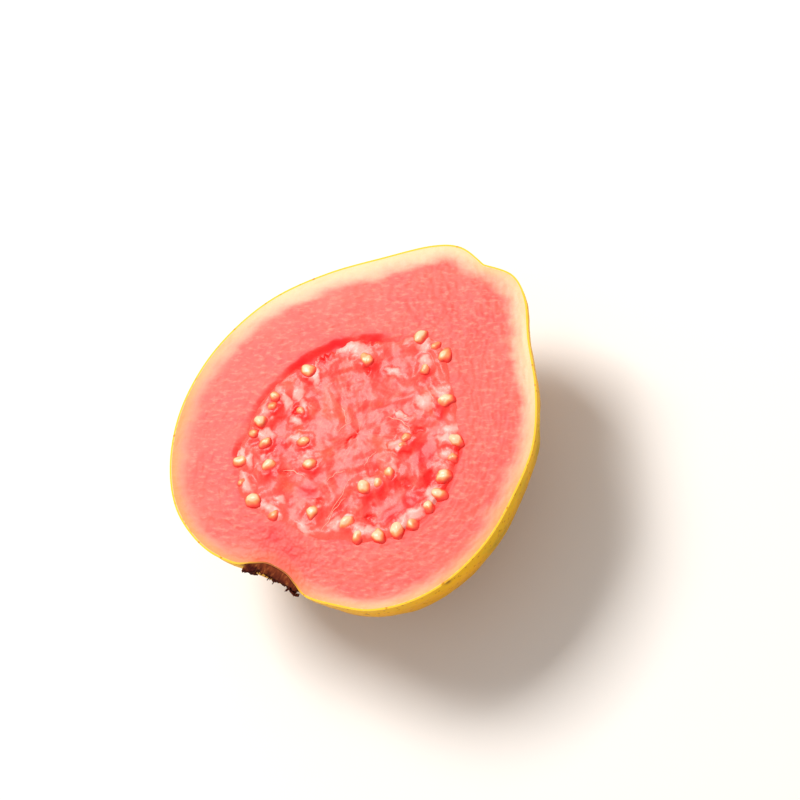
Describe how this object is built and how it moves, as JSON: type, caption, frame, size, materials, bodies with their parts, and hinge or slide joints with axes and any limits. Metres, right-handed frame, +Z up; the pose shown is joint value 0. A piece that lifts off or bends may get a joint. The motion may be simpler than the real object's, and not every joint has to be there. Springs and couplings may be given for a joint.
{
  "type": "guava half",
  "caption": "Ripe pink guava cut in half lengthwise: pear-shaped with a level cut face, lumpy seed pulp, seeds and a dried calyx, resting on its rounded skin.",
  "frame": {"origin": "on the surface that the half rests on, under the middle of its bounding box", "axes": "+Z up, square to the level cut face; +Y from the blossom end with the calyx to the stem end; +X across the cut face"},
  "size_m": [0.0694, 0.0758, 0.034],
  "materials": {
    "flesh": "moist, fine-grained fruit flesh, coral pink, paler towards the skin",
    "skin": "thin waxy fruit skin, golden yellow with green and olive patches",
    "pulp": "wet, translucent seed pulp, deep coral",
    "seed": "hard cream seeds under a wet film",
    "calyx": "dried, fibrous, dark brown"
  },
  "bodies": {
    "root": {"guava_half": "flesh", "calyx": "calyx"}
  },
  "joints": []
}
